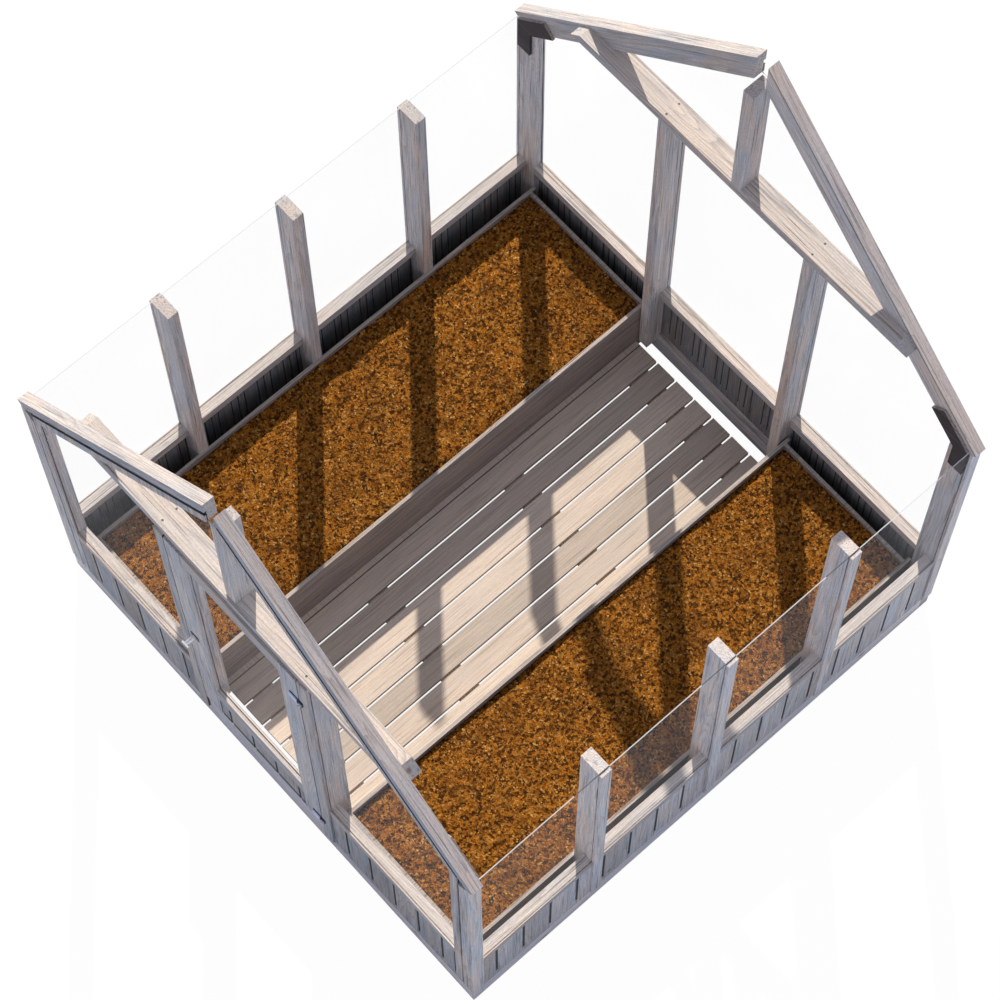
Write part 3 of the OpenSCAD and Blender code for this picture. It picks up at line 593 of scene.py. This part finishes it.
# A closed block: its top is a height for each point of a grid, and its rim drops to the ground.
def soilBlock(name, node, seed, material):
    low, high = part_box(node)
    columns, rows = [int(round((high[i] - low[i]) / soil["cell"])) for i in (0, 1)]
    x, y = np.meshgrid(np.linspace(low[0], high[0], columns + 1), np.linspace(low[1], high[1], rows + 1),
                       indexing="ij")
    top = np.stack([x, y, soilHeight(x, y, seed)], -1).reshape(-1, 3)
    index = np.arange(top.shape[0]).reshape(x.shape)
    quads = np.stack([index[:-1, :-1], index[1:, :-1], index[1:, 1:], index[:-1, 1:]], -1).reshape(-1, 4)
    rim = np.concatenate([index[:-1, 0], index[-1, :-1], index[:0:-1, -1], index[0, :0:-1]])
    foot = top[rim].copy()
    foot[:, 2] = low[2] + soil["footLift"]
    under = np.arange(rim.size) + top.shape[0]
    skirt = np.stack([np.roll(rim, -1), rim, under, np.roll(under, -1)], -1)
    sides = quads.tolist() + skirt.tolist() + [under[::-1].tolist()]
    piece = meshPiece(name, np.concatenate([top, foot]), sides, material, "house")
    piece.data.polygons.foreach_set("use_smooth", np.ones(len(sides), dtype=bool))
    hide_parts(node)


# loose crumbs: sizes in metres. favour is a power that makes small ones more common, rise the share of its
# size that a crumb is lifted by, and long, wide and high the least and most stretch of a lump
loose = {"count": 2600, "size": (0.0025, 0.008), "favour": 2.5, "margin": 0.012, "uneven": 0.25,
         "rise": 0.15, "long": (0.8, 1.5), "wide": (0.6, 1.0), "high": (0.45, 0.8), "seedStep": 50}


# One twenty-sided lump, squashed, turned and scaled at random for each crumb, on the bed of the same seed.
def crumbs(name, node, seed, material):
    low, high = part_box(node)
    dice = np.random.default_rng(seed + loose["seedStep"])
    g = (1 + 5 ** 0.5) / 2  # golden ratio, which gives the lump's corners
    lump = np.array([(-1, g, 0), (1, g, 0), (-1, -g, 0), (1, -g, 0), (0, -1, g), (0, 1, g),
                     (0, -1, -g), (0, 1, -g), (g, 0, -1), (g, 0, 1), (-g, 0, -1), (-g, 0, 1)])
    lump = lump / (1 + g * g) ** 0.5
    sides = np.array([(0, 11, 5), (0, 5, 1), (0, 1, 7), (0, 7, 10), (0, 10, 11), (1, 5, 9), (5, 11, 4),
                      (11, 10, 2), (10, 7, 6), (7, 1, 8), (3, 9, 4), (3, 4, 2), (3, 2, 6), (3, 6, 8),
                      (3, 8, 9), (4, 9, 5), (2, 4, 11), (6, 2, 10), (8, 6, 7), (9, 8, 1)])
    count, margin = loose["count"], loose["margin"]
    x = dice.uniform(low[0] + margin, high[0] - margin, count)
    y = dice.uniform(low[1] + margin, high[1] - margin, count)
    least, most = loose["size"]
    size = least + (most - least) * dice.random(count) ** loose["favour"]
    turn = dice.uniform(0, 2 * np.pi, count)
    dents = loose["uneven"] * (dice.random((count, len(lump), 1)) - 0.5)
    shape = lump[None] * (1 + dents) * size[:, None, None]
    stretch = np.stack([dice.uniform(*loose[way], count) for way in ("long", "wide", "high")], -1)
    shape = shape * stretch[:, None]
    c, s = np.cos(turn)[:, None], np.sin(turn)[:, None]
    turned = np.stack([shape[..., 0] * c - shape[..., 1] * s, shape[..., 0] * s + shape[..., 1] * c,
                       shape[..., 2]], -1)
    seat = np.stack([x, y, soilHeight(x, y, seed) + loose["rise"] * size], -1)
    points = (turned + seat[:, None]).reshape(-1, 3)
    faces = (sides[None] + len(lump) * np.arange(count)[:, None, None]).reshape(-1, 3)
    meshPiece(name, points, faces.tolist(), material, "house")


# soil colours: chips run from dark to light, and crumbs are mixed with one more colour
earth = {"dark": (0.085, 0.027, 0.006), "light": (0.53, 0.185, 0.019), "crumb": (0.40, 0.19, 0.045),
         "crumbShare": 0.35, "swirl": 160.0, "swirlDetail": 2.0, "push": 0.009, "chips": 150.0,
         "flakes": 92.0, "rough": 0.95, "gloss": 0.05, "bumpStrength": 0.8, "bumpDepth": 0.006,
         "chipBump": 0.8}
# each noise: scale, detail, roughness
earthNoises = {"fine": (185.0, 6.0, 0.8), "lumps": (85.0, 4.0, 0.7), "damp": (7.0, 4.0, 0.65),
               "clumps": (24.0, 4.0, 0.7)}
# each coat: its pattern, where that starts, where it is full, the share it covers there, and its colour
# the near-black coats stand partly for dark crumbs and partly for painted shade between the clods
earthCoats = [("lumps", 0.46, 0.62, 0.6, (0.58, 0.215, 0.025)),
              ("flakes", 0.80, 0.86, 0.6, (0.60, 0.27, 0.05)),
              ("flakes", 0.30, 0.24, 0.8, (0.030, 0.012, 0.005)),
              ("chips", 0.945, 0.965, 0.8, (0.74, 0.45, 0.16)),
              ("fine", 0.49, 0.40, 0.9, (0.020, 0.008, 0.003)),
              ("clumps", 0.52, 0.66, 0.5, (0.050, 0.020, 0.006)),
              ("damp", 0.50, 0.66, 0.4, (0.07, 0.026, 0.007))]


# Chips and flakes are Voronoi cells whose edges a fine noise bends. Each cell has one random shade.
def soilMaterial(name, crumb):
    made, tree, shader, coords = newMaterial(name)
    where = coords.outputs["Object"]
    found = {key: noise(tree, where, *values) for key, values in earthNoises.items()}
    swirl = addNode(tree, "ShaderNodeTexNoise",
                    {"Vector": where, "Scale": earth["swirl"], "Detail": earth["swirlDetail"]})
    push = placed(tree, swirl.outputs["Color"], (earth["push"],) * 3)
    bent = addNode(tree, "ShaderNodeVectorMath", {0: where, 1: push}).outputs[0]
    chips, flakes = cellNoise(tree, bent, earth["chips"]), cellNoise(tree, bent, earth["flakes"])
    found["chips"] = channel(tree, chips.outputs["Color"], 0)
    found["flakes"] = channel(tree, flakes.outputs["Color"], 1)
    colour = blendColours(tree, found["chips"], rgba(earth["dark"]), rgba(earth["light"]))
    for key, start, full, share, paint in earthCoats:
        colour = coat(tree, colour, found[key], start, full, share, paint)
    if crumb:
        colour = blendColours(tree, earth["crumbShare"], colour, rgba(earth["crumb"]))
    tree.links.new(colour, shader.inputs["Base Color"])
    shader.inputs["Roughness"].default_value = earth["rough"]
    shader.inputs["Specular IOR Level"].default_value = earth["gloss"]
    domes = maths(tree, "MULTIPLY", chips.outputs["Distance"], earth["chipBump"])
    height = maths(tree, "ADD", found["fine"], domes)
    roughen(tree, shader, height, earth["bumpStrength"], earth["bumpDepth"])
    return made


bedSoil, looseSoil = soilMaterial("bedSoil", False), soilMaterial("looseSoil", True)
for side, seed in (("left", 11), ("right", 31)):
    soilBlock("soilBed_" + side, "soil_" + side, seed, bedSoil)
    crumbs("soilCrumbs_" + side, "soil_" + side, seed, looseSoil)
print("soil made")


# light and ground
light = {"sun": (0.90, -0.76, -1.0), "strength": 4.2, "warmth": (1.0, 0.93, 0.83), "softness": 0.8,
         "sky": (0.90, 0.96, 1.17), "skyLevel": 0.38}
lamp = bpy.data.lights.new("sun", "SUN")
lamp.energy, lamp.color, lamp.angle = light["strength"], light["warmth"], radians(light["softness"])
sun = bpy.data.objects.new("sun", lamp)
sun.rotation_mode = "QUATERNION"
sun.rotation_quaternion = Vector(light["sun"]).to_track_quat("-Z", "Y")
scene.collection.objects.link(sun)
white = (1, 1, 1, 1)


def seenRays(tree):
    # 1 for rays that come from the camera, a reflection or a glass
    path = tree.nodes.new("ShaderNodeLightPath")
    seen = maths(tree, "MAXIMUM", path.outputs["Is Camera Ray"], path.outputs["Is Glossy Ray"])
    return maths(tree, "MAXIMUM", seen, path.outputs["Is Transmission Ray"])


def mixShaders(tree, amount, first, second, outputKind):
    both = addNode(tree, "ShaderNodeMixShader", {0: amount, 1: first.outputs[0], 2: second.outputs[0]})
    tree.links.new(both.outputs[0], addNode(tree, outputKind).inputs[0])


world = bpy.data.worlds.new("studio")
world.use_nodes = True
tree = world.node_tree
tree.nodes.clear()
sky = addNode(tree, "ShaderNodeBackground", {0: rgba(light["sky"]), 1: light["skyLevel"]})
backdrop = addNode(tree, "ShaderNodeBackground", {0: white, 1: 1.0})
mixShaders(tree, seenRays(tree), sky, backdrop, "ShaderNodeOutputWorld")
scene.world = world
scene.view_settings.view_transform = "Standard"

# the ground lies a little under the part, and glows for seen rays save where the shadow share dims it
floorPlane = {"half": 9.0, "depth": 0.0015, "colour": (0.70, 0.76, 0.86), "seenColour": (0.55, 0.55, 0.55),
              "shadowShare": 0.08, "glow": 1.052}
ground = bpy.data.meshes.new("ground")
corners = [(x * floorPlane["half"], y * floorPlane["half"], -floorPlane["depth"])
           for x, y in ((-1, -1), (1, -1), (1, 1), (-1, 1))]
ground.from_pydata(corners, [], [(0, 1, 2, 3)])
groundPaint = bpy.data.materials.new("groundPaint")
groundPaint.use_nodes = True
tree = groundPaint.node_tree
tree.nodes.clear()
seen = seenRays(tree)
paint = blendColours(tree, seen, rgba(floorPlane["colour"]), rgba(floorPlane["seenColour"]))
lit = addNode(tree, "ShaderNodeBsdfDiffuse", {0: paint})
glow = addNode(tree, "ShaderNodeEmission", {0: white, 1: floorPlane["glow"]})
share = maths(tree, "MULTIPLY", seen, 1.0 - floorPlane["shadowShare"])
mixShaders(tree, share, lit, glow, "ShaderNodeOutputMaterial")
ground.materials.append(groundPaint)
groundPlane = bpy.data.objects.new("ground", ground)
scene.collection.objects.link(groundPlane)
print("light and ground set")
